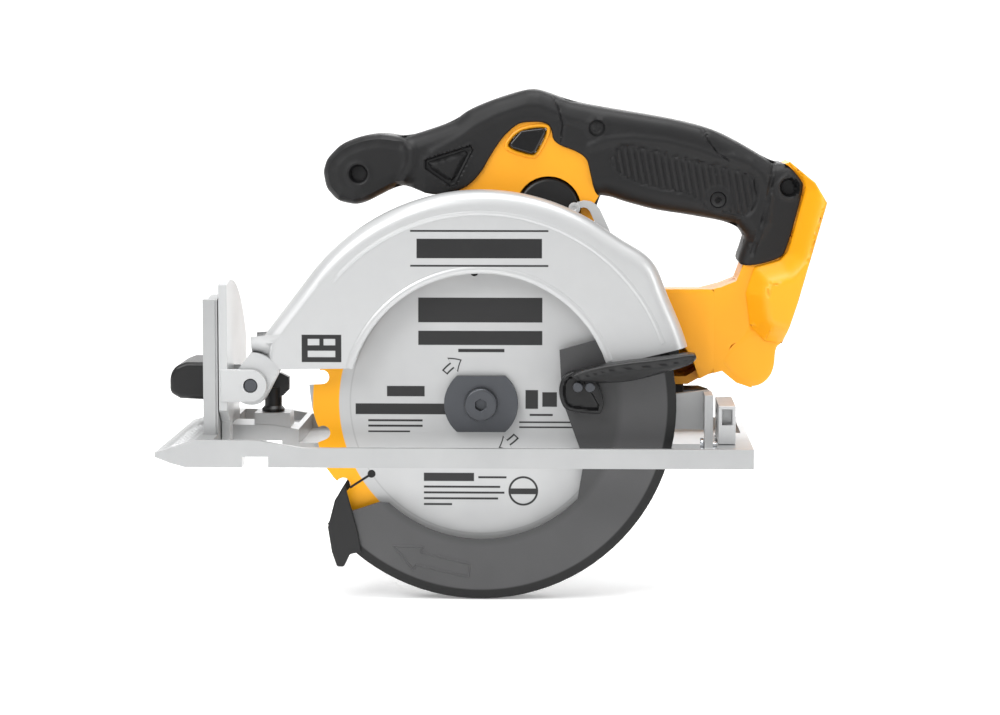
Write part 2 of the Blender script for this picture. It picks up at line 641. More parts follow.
def make_rear_hinge_bracket():
    """The ribbed block at the rear of the shoe that holds the rear bevel hinge pin."""
    low = (REAR_EYE_FRONT, out(-20 * MM), SHOE_RIM + GAP)
    high = (REAR_EYE_BACK, out(22 * MM), REAR_BRACKET_TOP)
    bracket = block("rear_hinge_bracket", low, high, CAST_SILVER)
    tongue = block(
        "rear_bracket_tongue", (REAR_EYE_FRONT + 0.6 * MM, BEVEL[0] - TONGUE_HALF_WIDTH, TONGUE_FOOT),
        (REAR_EYE_BACK - 0.6 * MM, BEVEL[0] + TONGUE_HALF_WIDTH, SHOE_RIM + 3 * MM), None, CUTTERS,
    )
    join(bracket, tongue)
    bore = rod(
        "rear_bracket_eye", HINGE_PIN_RADIUS + GAP, (REAR_EYE_FRONT - CUT, *BEVEL),
        (REAR_EYE_BACK + CUT, *BEVEL), None, CUTTERS, 16,
    )
    pocket = block(
        "rear_bracket_pocket", (REAR_EYE_FRONT + 1.6 * MM, out(-20 * MM) - CUT, REAR_BRACKET_TOP - 9.1 * MM),
        (REAR_EYE_BACK - 1.6 * MM, out(-20 * MM) + 7 * MM, REAR_BRACKET_TOP - 1.6 * MM), None, CUTTERS,
    )
    return cut(bracket, bore, pocket)


def seat_rear_bracket(shoe):
    """Cut the shoe's rear bar for the tongue of the rear hinge bracket."""
    seat = block(
        "rear_tongue_seat", (SLOT_REAR - CUT, BEVEL[0] - TONGUE_HALF_WIDTH - GAP, TONGUE_FOOT - GAP),
        (REAR_EYE_BACK + GAP, BEVEL[0] + TONGUE_HALF_WIDTH + GAP, ABOVE_SHOE), None, CUTTERS,
    )
    cut(shoe, seat)


# ---------------------------------------------------------------- tilting brackets
def make_front_bracket():
    """The tilting bracket behind the quadrant: a sector plate that holds the bevel bolt, a hinge
    eye on the bevel axis and two ears that hold the depth pivot."""
    left_edge = out(-EAR_OUTER + 0.6 * MM)
    bottom = BEVEL[1] + 18 * MM
    loop = [(left_edge, bottom), (BEVEL[0] - HINGE_EYE_RADIUS, bottom - 6 * MM)]
    loop += arc(BEVEL, HINGE_EYE_RADIUS, 180, 360, 10)
    loop += [(BEVEL[0] + HINGE_EYE_RADIUS, bottom - 6 * MM), (out(EAR_OUTER - 0.6 * MM), bottom)]
    loop += arc(BEVEL_BOLT, 10 * MM, 235, 385, 8)
    loop += arc(BEVEL, BRACKET_RADIUS, 38, 101, 16)
    eye = circle(BEVEL, HINGE_PIN_RADIUS + GAP, 16)
    bolt_hole = circle(BEVEL_BOLT, BEVEL_BOLT_RADIUS + GAP, 16)
    bracket = plate("front_bracket", [loop, eye, bolt_hole], BRACKET_FRONT, BRACKET_REAR, "YZ", CAST_SILVER)
    ear_top = PIVOT[1] + EAR_RADIUS
    ear_low = PIVOT[1] - EAR_RADIUS
    ear = [(BRACKET_FRONT + CUT, ear_low)] + arc(PIVOT, EAR_RADIUS, -90, 90, 12)
    ear.append((BRACKET_FRONT + CUT, ear_top))
    hole = circle(PIVOT, PIVOT_PIN_RADIUS + GAP, 20)
    for side, low, high in (("left", -EAR_OUTER, -EAR_INNER), ("right", EAR_INNER, EAR_OUTER)):
        lug = plate("%s_ear" % side, [ear, hole], out(low), out(high), "XZ", None, CUTTERS)
        join(bracket, lug)
    return bracket


def make_bevel_bolt():
    """The carriage bolt along X that clamps the bracket to the quadrant."""
    head = BRACKET_REAR + GAP
    tip = QUADRANT_FRONT - BEVEL_BOLT_TAIL
    profile = [
        (0.0, head + 3.5 * MM), (5.5 * MM, head + 2.0 * MM), (5.5 * MM, head),
        (BEVEL_BOLT_RADIUS, head), (BEVEL_BOLT_RADIUS, tip), (0.0, tip),
    ]
    return turned("bevel_bolt", profile, (0.0, *BEVEL_BOLT), BRIGHT_STEEL, 20, (1, 0, 0))


def make_bevel_knob():
    """The winged clamping knob in front of the quadrant."""
    rear = QUADRANT_FRONT - QUADRANT_RIB - 2 * GAP
    front = rear - KNOB_LENGTH
    half = KNOB_HALF_HEIGHT
    y, z = BEVEL_BOLT
    side = [
        (rear, z - half), (rear, z + half), (front + 8 * MM, z + half), (front + 2.5 * MM, z + half * 0.78),
        (front, z + half * 0.3), (front, z - half * 0.62), (front + 5 * MM, z - half * 0.92),
    ]
    knob = plate("bevel_knob", [side], y - KNOB_HALF_WIDTH, y + KNOB_HALF_WIDTH, "XZ", BLACK_PLASTIC)
    bore = rod(
        "bevel_knob_bore", BEVEL_BOLT_RADIUS + GAP, (rear + CUT, y, z),
        (QUADRANT_FRONT - BEVEL_BOLT_TAIL - 1.0 * MM, y, z), None, CUTTERS, 16,
    )
    return cut(knob, bore)


def depth_quadrant_loop():
    """The outline of the curved depth guide: a band about the depth pivot with a round top end,
    run out below to its foot."""
    start = DEPTH_REST_ANGLE
    end = start + DEPTH_RANGE
    outer = DEPTH_SLOT_RADIUS + DEPTH_QUADRANT_HALF_WIDTH
    inner = DEPTH_SLOT_RADIUS - DEPTH_QUADRANT_HALF_WIDTH
    tip = arc(PIVOT, DEPTH_SLOT_RADIUS, end + 0.5, end + 0.5, 1)[0]
    loop = arc(PIVOT, outer, start - 0.5, end + 0.5, 16)
    loop += arc(tip, DEPTH_QUADRANT_HALF_WIDTH, end, end + 180, 8)[1:-1]
    loop += arc(PIVOT, inner, end + 0.5, start - 6.0, 18)
    back = FOOT_BACK - 1.0 * MM
    return loop + [(FOOT_FRONT - 30 * MM, DEPTH_FOOT_LOW), (back, DEPTH_FOOT_LOW), (back, DEPTH_FOOT_TOP)]


def make_depth_quadrant():
    """The curved depth guide, a flat plate about the depth pivot, with its foot turned across to
    the rear hinge pin."""
    low = out(DEPTH_QUADRANT_NEAR)
    high = low + DEPTH_QUADRANT_THICK
    slot = arc_slot(
        PIVOT, DEPTH_SLOT_RADIUS, DEPTH_SLOT_HALF_WIDTH, DEPTH_REST_ANGLE - 1,
        DEPTH_REST_ANGLE + DEPTH_RANGE + 1,
    )
    quadrant = plate("depth_quadrant", [depth_quadrant_loop(), slot], low, high, "XZ", BRIGHT_STEEL)
    inset = 0.6 * MM
    foot = [(high - inset, DEPTH_FOOT_LOW + inset), (high - inset, DEPTH_FOOT_TOP - inset)]
    foot += [(BEVEL[0] - HINGE_EYE_RADIUS, DEPTH_FOOT_TOP - inset)]
    foot += arc(BEVEL, HINGE_EYE_RADIUS, 180, 360, 10)
    foot += [(BEVEL[0] + HINGE_EYE_RADIUS, DEPTH_FOOT_LOW + inset)]
    eye = circle(BEVEL, HINGE_PIN_RADIUS + GAP, 16)
    flange = plate("depth_quadrant_foot", [foot, eye], FOOT_FRONT, FOOT_BACK, "YZ", None, CUTTERS)
    return join(quadrant, flange)


def make_hinge_pin(name, front, back):
    """A headed pin on the bevel axis."""
    profile = [
        (0.0, back), (HINGE_PIN_RADIUS, back), (HINGE_PIN_RADIUS, front),
        (HINGE_PIN_RADIUS + PIN_HEAD_LIP, front),
        (HINGE_PIN_RADIUS + PIN_HEAD_LIP, front - 1.6 * MM), (0.0, front - 1.6 * MM),
    ]
    return turned(name, profile, (0.0, *BEVEL), BRIGHT_STEEL, 20, (1, 0, 0))


# ---------------------------------------------------------------- guards
def make_upper_guard():
    """The cast upper guard: a deep shell over the blade with a flat web reaching forward to the
    depth pivot, open below and with a round window in its outer wall."""
    centre = (AXIS.x, AXIS.z)
    half = UPPER_GUARD_HALF_WIDTH
    bottom = centre[1] + 17.0 * MM
    loop = arc(centre, UPPER_GUARD_RADIUS, UPPER_GUARD_END, UPPER_GUARD_BREAK, 30)
    loop += arc(PIVOT, PIVOT_BOSS_RADIUS, 150, 300, 10)
    loop += [(PIVOT[0] + 13 * MM, bottom), (centre[0] + 64 * MM, bottom + 3 * MM)]
    guard = plate("upper_guard", [loop], out(-half), out(half), "XZ", CAST_SILVER)
    hub = rod(
        "guard_hub", LOWER_GUARD_HUB, (0, out(half - UPPER_GUARD_WALL + 0.2 * MM), centre[1]),
        (0, out(half - 0.2 * MM), centre[1]), None, CUTTERS, 40,
    )
    join(guard, hub)
    inner_half = half - UPPER_GUARD_WALL
    inner_radius = UPPER_GUARD_RADIUS - UPPER_GUARD_WALL - GAP
    cavity = rod(
        "guard_cavity", inner_radius, (0, out(-inner_half), centre[1]), (0, out(inner_half), centre[1]),
        None, CUTTERS, 72,
    )
    window = rod(
        "guard_window", UPPER_GUARD_WINDOW, (0, out(-half - CUT), centre[1]), (0, out(0), centre[1]),
        None, CUTTERS, 60,
    )
    pivot_bore = rod(
        "pivot_bore", PIVOT_PIN_RADIUS + GAP, (PIVOT[0], out(-half - CUT), PIVOT[1]),
        (PIVOT[0], out(half + CUT), PIVOT[1]), None, CUTTERS, 20,
    )
    nose_bore = rod(
        "nose_bore", NOSE_RADIUS + GAP, (0, out(0), centre[1]), (0, out(half + CUT), centre[1]),
        None, CUTTERS, 40,
    )
    cut(guard, cavity, window, pivot_bore, nose_bore)
    for side in (-1, 1):
        relief = rod(
            "ear_relief_%s" % ("left" if side < 0 else "right"), EAR_RELIEF_RADIUS,
            (PIVOT[0], out(side * PIVOT_BOSS_HALF_WIDTH), PIVOT[1]),
            (PIVOT[0], out(side * (half + CUT)), PIVOT[1]), None, CUTTERS, 40,
        )
        cut(guard, relief)
    bolt = depth_bolt_place()
    stud_bore = rod(
        "depth_stud_bore", DEPTH_BOLT_RADIUS + GAP, (bolt[0], out(half - 1.5 * MM), bolt[1]),
        (bolt[0], out(half + CUT), bolt[1]), None, CUTTERS, 16,
    )
    pad_loop = belt(bolt, DEPTH_BOLT_RADIUS + 3 * MM, (bolt[0], bottom + 12 * MM), 10 * MM, 10)
    pad = plate(
        "depth_stud_pad", [pad_loop], out(inner_half + 0.3 * MM), out(half - 0.3 * MM), "XZ", None, CUTTERS,
    )
    join(guard, pad)
    return cut(guard, stud_bore)


def depth_bolt_place():
    """Where the depth stud crosses the side view at full depth."""
    return arc(PIVOT, DEPTH_SLOT_RADIUS, DEPTH_REST_ANGLE, DEPTH_REST_ANGLE, 1)[0]


def make_lower_guard():
    """The retracting guard: two side walls and a rim round the lower part of the blade, the outer
    wall cut back to a window and the inner wall carrying the hub it turns on."""
    centre = (AXIS.x, AXIS.z)
    loop = arc(centre, LOWER_GUARD_RADIUS, LOWER_GUARD_START, LOWER_GUARD_END, 44)
    loop += arc(centre, LOWER_GUARD_HUB, LOWER_GUARD_END - 330, LOWER_GUARD_START - 30, 14)
    half = LOWER_GUARD_HALF_WIDTH
    guard = plate("lower_guard", [loop], out(-half), out(half), "XZ", GUARD_GREY)
    inner = half - LOWER_GUARD_WALL
    cavity = rod(
        "lower_cavity", LOWER_GUARD_RADIUS - LOWER_GUARD_WALL, (0, out(-inner), centre[1]),
        (0, out(inner), centre[1]), None, CUTTERS, 72,
    )
    bore = rod(
        "lower_bore", LOWER_GUARD_BORE, (0, out(0), centre[1]), (0, out(half + CUT), centre[1]),
        None, CUTTERS, 48,
    )
    start = degrees(atan2(-43 * MM, 48.3 * MM)) - 2.5
    window = arc(centre, LOWER_GUARD_WINDOW, start, -133, 24)
    window += [
        (-47.9 * MM, centre[1] - 46.4 * MM), (-59.8 * MM, centre[1] - 50.3 * MM),
        (-110 * MM, centre[1] - 60 * MM), (-110 * MM, centre[1] + 50 * MM),
        (36 * MM, centre[1] + 50 * MM), (38.5 * MM, centre[1] + 2.6 * MM),
        (47.0 * MM, centre[1] - 20.7 * MM), (48.3 * MM, centre[1] - 30 * MM),
    ]
    opening = plate("lower_window", [window], out(-half - CUT), out(0), "XZ", None, CUTTERS)
    return cut(guard, cavity, bore, opening)


def make_toe_bumper():
    """The moulded nose on the front end of the lower guard, with cheeks outside its walls."""
    z = AXIS.z
    outline = [
        (210.1, -17.9), (213.3, -9.5), (218.8, 0.8), (224.7, 7.2), (228.5, 10.7), (229.9, 8.6),
        (228.9, 2.3), (231.0, -2.5), (225.7, -8.7),
    ]
    loop = []
    for angle, proud in outline:
        loop += arc((0, z), LOWER_GUARD_RADIUS + proud * MM, angle, angle, 1)[:1]
    toe = plate("guard_toe_bumper", [loop], out(-TOE_HALF_WIDTH), out(TOE_HALF_WIDTH), "XZ", BLACK_PLASTIC)
    room = rod(
        "toe_room", LOWER_GUARD_RADIUS + GAP, (0, out(-LOWER_GUARD_HALF_WIDTH - GAP), z),
        (0, out(LOWER_GUARD_HALF_WIDTH + GAP), z), None, CUTTERS, 72,
    )
    return cut(toe, room)


RIVETS = mm([(46.0, 35.9), (51.7, 35.9)])


def make_guard_lever():
    """The thumb lever on the lower guard: a rounded hub on the guard's outer wall and a blade that
    sweeps rearward in front of the upper guard."""
    hub = mm([
        (38.6, 27.0), (41.4, 24.4), (50.0, 23.4), (56.4, 22.9), (57.2, 24.0), (58.4, 28.0), (57.0, 34.0),
        (54.0, 40.6), (49.0, 43.6), (42.0, 43.2), (38.0, 39.6), (36.8, 33.5),
    ])
    blade = mm([
        (41.3, 43.0), (60.6, 47.8), (87.3, 50.7), (99.9, 53.1), (101.8, 50.7), (98.1, 46.9),
        (87.3, 43.6), (74.2, 39.8), (65.3, 38.6), (56.0, 38.4), (46.0, 39.0),
    ])
    near = out(-LOWER_GUARD_HALF_WIDTH - GAP)
    lever = plate("guard_lever", [hub], out(-LEVER_HUB_OUT), near, "XZ", BLACK_PLASTIC)
    outer = plate(
        "guard_lever_blade", [blade], out(-LEVER_BLADE_OUT), out(-UPPER_GUARD_HALF_WIDTH - 2 * GAP),
        "XZ", None, CUTTERS,
    )
    join(lever, outer)
    for number, (x, z) in enumerate(RIVETS):
        bore = rod(
            "lever_rivet_bore_%d" % number, RIVET_RADIUS + GAP, (x, out(-LEVER_BLADE_OUT - CUT), z),
            (x, out(0), z), None, CUTTERS, 16,
        )
        cut(lever, bore)
    return lever


def make_lever_rivet(number):
    """A rivet that holds the lever to the guard's outer wall."""
    x, z = RIVETS[number]
    return rod(
        "lever_rivet_%d" % (number + 1), RIVET_RADIUS, (x, out(-LEVER_HUB_OUT - 0.6 * MM), z),
        (x, out(-LOWER_GUARD_HALF_WIDTH - GAP), z), BRIGHT_STEEL, PARTS, 16,
    )


# ---------------------------------------------------------------- blade and drive
def make_blade():
    """The toothed saw blade with a round bore: each tooth leans forward over a round gullet."""
    step = 360.0 / TOOTH_COUNT
    root = BLADE_RADIUS - GULLET_DEPTH
    loop = []
    for tooth in range(TOOTH_COUNT):
        tip = 174.0 + tooth * step
        loop.append(arc((0, AXIS.z), BLADE_RADIUS, tip, tip, 1)[0])
        loop.append(arc((0, AXIS.z), BLADE_RADIUS - 2.2 * MM, tip + 5.0, tip + 5.0, 1)[0])
        loop.append(arc((0, AXIS.z), root + 4.2 * MM, tip + step * 0.62, tip + step * 0.62, 1)[0])
        loop.append(arc((0, AXIS.z), root, tip + step * 0.78, tip + step * 0.78, 1)[0])
        loop.append(arc((0, AXIS.z), root + 2.0 * MM, tip + step * 0.92, tip + step * 0.92, 1)[0])
        loop.append(arc((0, AXIS.z), BLADE_RADIUS - 3.0 * MM, tip + step * 0.94, tip + step * 0.94, 1)[0])
    half = BLADE_PLATE / 2
    bore = circle((0, AXIS.z), BLADE_BORE_RADIUS, 32)
    return plate("blade", [loop, bore], out(-half), out(half), "XZ", BLADE_STEEL)


def make_flange(name, side):
    """A clamping flange on one side of the blade, with two flats. The inner one has the pilot
    boss that centres the blade."""
    near = BLADE_PLATE / 2 + GAP
    low, high = (-near - FLANGE_THICK, -near) if side < 0 else (near, near + FLANGE_THICK)
    flat = degrees(asin(FLANGE_FLAT))
    centre = (0, AXIS.z)
    loop = arc(centre, FLANGE_RADIUS, -flat, flat, 12)
    loop += arc(centre, FLANGE_RADIUS, 180 - flat, 180 + flat, 12)
    flange = plate(name, [loop], out(low), out(high), "XZ", DARK_STEEL)
    if side > 0:
        pilot = rod(
            "flange_pilot", BLADE_BORE_RADIUS - GAP, (0, out(-BLADE_PLATE / 2), AXIS.z),
            (0, out(low + CUT), AXIS.z), None, CUTTERS, 32,
        )
        join(flange, pilot)
    bore = rod(
        name + "_bore", SCREW_RADIUS + GAP, (0, out(low - 2 * CUT), AXIS.z), (0, out(high + CUT), AXIS.z),
        None, CUTTERS, 24,
    )
    return cut(flange, bore)


def make_blade_screw():
    """The blade clamping screw, with a hexagon socket in its round head."""
    face = -(BLADE_PLATE / 2 + 2 * GAP + FLANGE_THICK)
    profile = [
        (0.0, 20 * MM), (SCREW_RADIUS, 20 * MM), (SCREW_RADIUS, face), (SCREW_HEAD_RADIUS, face),
        (SCREW_HEAD_RADIUS, face - SCREW_HEAD_THICK + 0.8 * MM),
        (SCREW_HEAD_RADIUS - 0.8 * MM, face - SCREW_HEAD_THICK), (0.0, face - SCREW_HEAD_THICK),
    ]
    screw = turned("blade_screw", profile, AXIS, DARK_STEEL, 32)
    socket = rod(
        "blade_screw_socket", HEX_SOCKET_RADIUS, (0, out(face - SCREW_HEAD_THICK - CUT), AXIS.z),
        (0, out(face - 0.4 * MM), AXIS.z), None, CUTTERS, 6,
    )
    return cut(screw, socket)


FLANGE_BACK = BLADE_PLATE / 2 + GAP + FLANGE_THICK
FRONT_BEARING = (CASE_START - 2.3 * MM, CASE_START + 4.7 * MM, FRONT_BEARING_RADIUS)
REAR_BEARING = (CASE_END - 9.3 * MM, CASE_END - 3.3 * MM, REAR_BEARING_RADIUS)


def make_spindle():
    """The output spindle, bored at its front end for the blade screw."""
    start = FLANGE_BACK + GAP
    end = CASE_END - GEAR_CASE_WALL - GAP
    bore = SCREW_RADIUS + GAP
    profile = [
        (0.0, end), (SPINDLE_TAIL_RADIUS, end), (SPINDLE_TAIL_RADIUS, REAR_BEARING[0] - GAP),
        (SPINDLE_RADIUS, REAR_BEARING[0] - GAP),
        (SPINDLE_RADIUS, start), (bore, start), (bore, 21.5 * MM), (0.0, 21.5 * MM),
    ]
    return turned("spindle", profile, AXIS, GEAR_STEEL, 32)


def gear_loop(centre, teeth, phase):
    """The outline of a spur gear: each tooth narrows from root to tip, with a short addendum."""
    pitch_radius = GEAR_MODULE * teeth / 2
    pitch = 360.0 / teeth
    tip = pitch_radius + 0.62 * GEAR_MODULE
    root = pitch_radius - 0.95 * GEAR_MODULE
    loop = []
    for tooth in range(teeth):
        middle = phase + tooth * pitch
        for radius, turn in ((root, -0.25), (tip, -0.1), (tip, 0.1), (root, 0.25)):
            loop.append(arc(centre, radius, middle + turn * pitch, middle + turn * pitch, 1)[0])
    return loop


def make_drive_gear():
    """The large spur gear on the spindle, with a tooth gap facing the pinion's tooth."""
    centre = (0, AXIS.z)
    loop = gear_loop(centre, GEAR_TEETH, MOTOR_ANGLE)
    bore = circle(centre, SPINDLE_RADIUS + GAP, 24)
    return plate("drive_gear", [loop, bore], out(GEAR_OUT), out(GEAR_OUT + GEAR_FACE), "XZ", GEAR_STEEL)


def make_armature_shaft():
    """The motor shaft, with the pinion cut on its end."""
    start = GEAR_OUT - 2.0 * MM
    pinion_end = GEAR_OUT + GEAR_FACE + 1.0 * MM
    end = MOTOR_END + 3.0 * MM
    shaft = rod(
        "armature_shaft", SHAFT_RADIUS, (MOTOR_X, out(start), MOTOR_Z), (MOTOR_X, out(end), MOTOR_Z),
        GEAR_STEEL, PARTS, 24,
    )
    half_tooth = 180.0 / PINION_TEETH
    loop = gear_loop((MOTOR_X, MOTOR_Z), PINION_TEETH, MOTOR_ANGLE + 180 + half_tooth)
    teeth = plate("pinion_teeth", [loop], out(start), out(pinion_end), "XZ", None, CUTTERS)
    return join(shaft, teeth)


def make_armature_core():
    """The wound armature: a slotted cylinder on the shaft."""
    core = ring(
        "armature_core", ARMATURE_RADIUS, SHAFT_RADIUS + GAP, CORE_START, CORE_END, MOTOR_AXIS, COPPER, 36,
    )
    slots = 9
    for slot in range(slots):
        angle = 2 * pi * slot / slots
        place = Vector((MOTOR_X + ARMATURE_RADIUS * cos(angle), 0.0, MOTOR_Z + ARMATURE_RADIUS * sin(angle)))
        groove = rod(
            "armature_slot_%d" % slot, 2.2 * MM, (place.x, out(CORE_START - CUT), place.z),
            (place.x, out(CORE_END + CUT), place.z), None, CUTTERS, 8,
        )
        cut(core, groove)
    return core


def make_cooling_fan():
    """The fan on the motor shaft: a disc with straight blades."""
    hub_radius = 8.0 * MM
    fan = ring(
        "cooling_fan", FAN_RADIUS, SHAFT_RADIUS + GAP, FAN_START, FAN_START + 1.8 * MM, MOTOR_AXIS,
        BLACK_PLASTIC, 36,
    )
    hub = ring(
        "fan_hub", hub_radius, SHAFT_RADIUS + GAP, FAN_START + 0.5 * MM, FAN_END, MOTOR_AXIS, None, 24,
    )
    join(fan, hub)
    vanes = 8
    inner = hub_radius + 4.0 * MM
    outer = FAN_RADIUS - 1.0 * MM
    for number in range(vanes):
        angle = 2 * pi * number / vanes
        vane = block(
            "fan_vane_%d" % number, (inner, -0.7 * MM, 0.0), (outer, 0.7 * MM, 6.0 * MM), None, CUTTERS,
        )
        vane.matrix_world = (
            Matrix.Translation((MOTOR_X, out(FAN_START + 4.0 * MM), MOTOR_Z))
            @ Matrix.Rotation(-angle, 4, "Y") @ Matrix.Translation(((inner + outer) / 2, 0.0, 0.0))
            @ Matrix.Rotation(pi / 2, 4, "X")
        )
        join(fan, vane)
    return fan


# ---------------------------------------------------------------- gear case and motor
def make_gear_case():
    """The gear case: an oval cup behind the guard with a nose through the guard for the spindle's
    front bearing, open towards the motor."""
    centre = (0, AXIS.z)
    motor = (MOTOR_X, MOTOR_Z)
    case = plate(
        "gear_case", [belt(centre, GEAR_CASE_RADIUS, motor, MOTOR_RADIUS)], out(CASE_START), out(CASE_END),
        "XZ", CAST_SILVER,
    )
    nose = rod(
        "case_nose", NOSE_RADIUS, (0, out(FRONT_BEARING[0] - 2.0 * MM), AXIS.z),
        (0, out(CASE_START + CUT), AXIS.z), None, CUTTERS, 40,
    )
    join(case, nose)
    wall = GEAR_CASE_WALL
    loop = belt(centre, GEAR_CASE_RADIUS - wall, motor, MOTOR_RADIUS - wall)
    hollow = plate(
        "case_hollow", [loop], out(CASE_START + GEAR_CASE_FACE), out(CASE_END - wall), "XZ", None, CUTTERS,
    )
    seat = rod(
        "front_bearing_seat", FRONT_BEARING[2] + GAP, (0, out(FRONT_BEARING[0] - GAP), AXIS.z),
        (0, out(CASE_START + 8.0 * MM), AXIS.z), None, CUTTERS, 36,
    )
    spindle_bore = rod(
        "case_spindle_bore", SPINDLE_RADIUS + CUT, (0, out(0), AXIS.z), (0, out(CASE_END - wall), AXIS.z),
        None, CUTTERS, 28,
    )
    motor_bore = rod(
        "case_motor_bore", MOTOR_BEARING_RADIUS + GAP, (MOTOR_X, out(CASE_START + 8 * MM), MOTOR_Z),
        (MOTOR_X, out(CASE_END + CUT), MOTOR_Z), None, CUTTERS, 32,
    )
    boss = rod(
        "rear_bearing_boss", REAR_BEARING[2] + 2.5 * MM, (0, out(REAR_BEARING[0] - 0.5 * MM), AXIS.z),
        (0, out(CASE_END - 1.0 * MM), AXIS.z), None, CUTTERS, 32,
    )
    rear_seat = rod(
        "rear_bearing_seat", REAR_BEARING[2] + GAP, (0, out(REAR_BEARING[0] - CUT), AXIS.z),
        (0, out(REAR_BEARING[1] + GAP), AXIS.z), None, CUTTERS, 32,
    )
    cut(case, hollow)
    join(case, boss)
    return cut(case, seat, rear_seat, spindle_bore, motor_bore)


def make_bearing(name, place, bore, near, far, outer):
    """A ball bearing drawn as one ring with a groove between its races."""
    middle = (outer + bore) / 2
    groove = 0.9 * MM
    profile = [
        (outer, far), (outer, near), (middle + groove, near), (middle + groove, near + 0.8 * MM),
        (middle - groove, near + 0.8 * MM), (middle - groove, near), (bore, near), (bore, far),
    ]
    return turned(name, profile, place, BRIGHT_STEEL, 20)


def make_motor_housing():
    """The motor's drum: a round barrel with air slots at its outer end."""
    housing = ring(
        "motor_housing", MOTOR_RADIUS, MOTOR_RADIUS - MOTOR_WALL, CASE_END + GAP, MOTOR_END, MOTOR_AXIS,
        YELLOW_PLASTIC, 40,
    )
    for number in range(6):
        angle = radians(30 + number * 60.0)
        slot = block("drum_slot_%d" % number, (0, 0, 0), (10 * MM, 4 * MM, 12 * MM), None, CUTTERS)
        slot.matrix_world = (
            Matrix.Translation((MOTOR_X, out(FAN_START + 6.0 * MM), MOTOR_Z))
            @ Matrix.Rotation(-angle, 4, "Y") @ Matrix.Translation((MOTOR_RADIUS, 0.0, 0.0))
        )
        cut(housing, slot)
    return housing


def make_brush_holder(name, side):
    """A holder for one carbon brush, which reaches in from the drum's wall to the commutator."""
    near = COMMUTATOR_RADIUS + GAP
    far = DRUM_INNER - 2 * GAP
    half = BRUSH_HOLDER_WIDTH / 2
    low, high = (near, far) if side > 0 else (-far, -near)
    holder = block(
        name, (MOTOR_X - half, out(COMMUTATOR_START + 2.0 * MM), MOTOR_Z + low),
        (MOTOR_X + half, out(COMMUTATOR_END - 3.0 * MM), MOTOR_Z + high), BLACK_PLASTIC,
    )
    return holder


def make_end_cap():
    """The domed cap on the outer end of the motor, holding its rear bearing."""
    start = MOTOR_END + GAP
    end = start + END_CAP_DEPTH
    wall = MOTOR_WALL
    radius = MOTOR_RADIUS
    seat = MOTOR_BEARING_RADIUS + GAP
    profile = [
        (0.0, end), (radius - 9 * MM, end), (radius - 3 * MM, end - 3 * MM), (radius, end - 8 * MM),
        (radius, start), (radius - wall, start), (radius - wall, end - 8.5 * MM),
        (radius - 10 * MM, end - wall), (seat + wall, end - wall), (seat + wall, start), (seat, start),
        (seat, end - wall), (0.0, end - wall),
    ]
    return turned("motor_end_cap", profile, MOTOR_AXIS, BLACK_PLASTIC, 36)


# ---------------------------------------------------------------- handle and body shells
GRIP_TOP = mm([
    (-77.1, 135.9), (-75.3, 142.0), (-68.2, 149.3), (-57.5, 153.3), (-48.3, 154.3), (-37.7, 152.5),
    (-27.0, 155.6), (-13.4, 160.4), (-7.2, 165.4), (5.4, 170.7), (21.3, 175.6), (27.6, 175.2),
    (41.1, 170.0), (55.6, 167.1), (90.3, 161.4), (109.6, 156.6), (122.6, 150.1), (138.6, 140.5),
])
GRIP_BACK = mm([(145.0, 140.4), (152.4, 132.1), (153.4, 128.3), (145.4, 98.3), (142.1, 94.4), (128.4, 90.8)])
GRIP_UNDERSIDE = mm([
    (121.3, 92.0), (125.4, 103.1), (125.4, 105.5), (120.8, 111.0), (104.6, 114.4), (82.8, 117.5),
    (68.3, 121.4), (58.9, 124.7), (54.0, 124.0),
])
NECK_ARCH = mm([
    (50.9, 137.8), (49.9, 142.1), (45.4, 145.6), (33.7, 149.7), (32.9, 156.8), (29.8, 159.7),
    (19.8, 159.7), (15.3, 157.9), (7.4, 150.1), (-4.6, 128.6),
])
HORN_UNDERSIDE = mm([
    (-23.2, 123.9), (-34.8, 128.8), (-41.1, 129.2), (-54.8, 121.7), (-61.1, 119.8), (-70.0, 121.6),
    (-75.6, 127.8),
])
OVERMOULD_LOOP = GRIP_TOP + GRIP_BACK + GRIP_UNDERSIDE + NECK_ARCH + HORN_UNDERSIDE

CORE_TOP = mm([
    (-73.9, 136.0), (-72.4, 140.6), (-66.4, 146.7), (-56.9, 150.3), (-48.2, 151.3), (-37.5, 149.4),
    (-26.0, 152.7), (-12.0, 157.7), (-5.6, 162.8), (6.5, 167.9), (21.5, 172.5), (26.9, 172.2),
    (40.3, 167.1), (55.0, 164.1), (89.7, 158.5), (108.4, 153.9), (121.2, 147.5), (136.0, 138.6),
])
RECEIVER_BACK = mm([
    (141.0, 138.6), (146.8, 140.7), (158.4, 131.1), (163.8, 121.5), (150.3, 73.6), (143.7, 53.8),
    (140.3, 52.3), (139.9, 41.4), (136.1, 34.8), (129.8, 32.1), (121.8, 34.8), (115.0, 40.4),
    (108.4, 38.6), (98.8, 33.2), (60.0, 33.0), (46.0, 38.0),
])
BODY_FRONT = [(MOTOR_X, MOTOR_Z)] + mm([
    (-23.0, 74.0), (-24.0, 100.0), (-21.9, 126.7), (-34.2, 131.9), (-42.0, 132.2), (-55.6, 124.7),
    (-61.2, 122.9), (-68.9, 124.4), (-72.8, 129.0),
])
BODY_LOOP = CORE_TOP + RECEIVER_BACK + BODY_FRONT
HAND_OPENING = mm([
    (58.0, 128.5), (69.2, 124.4), (83.4, 120.5), (105.2, 117.4), (122.4, 113.6), (128.5, 106.6),
    (128.4, 102.5), (124.6, 91.6), (123.1, 87.3), (121.7, 83.7), (114.4, 80.8), (104.8, 78.3),
    (56.0, 78.3), (54.0, 100.0), (53.0, 120.0),
])
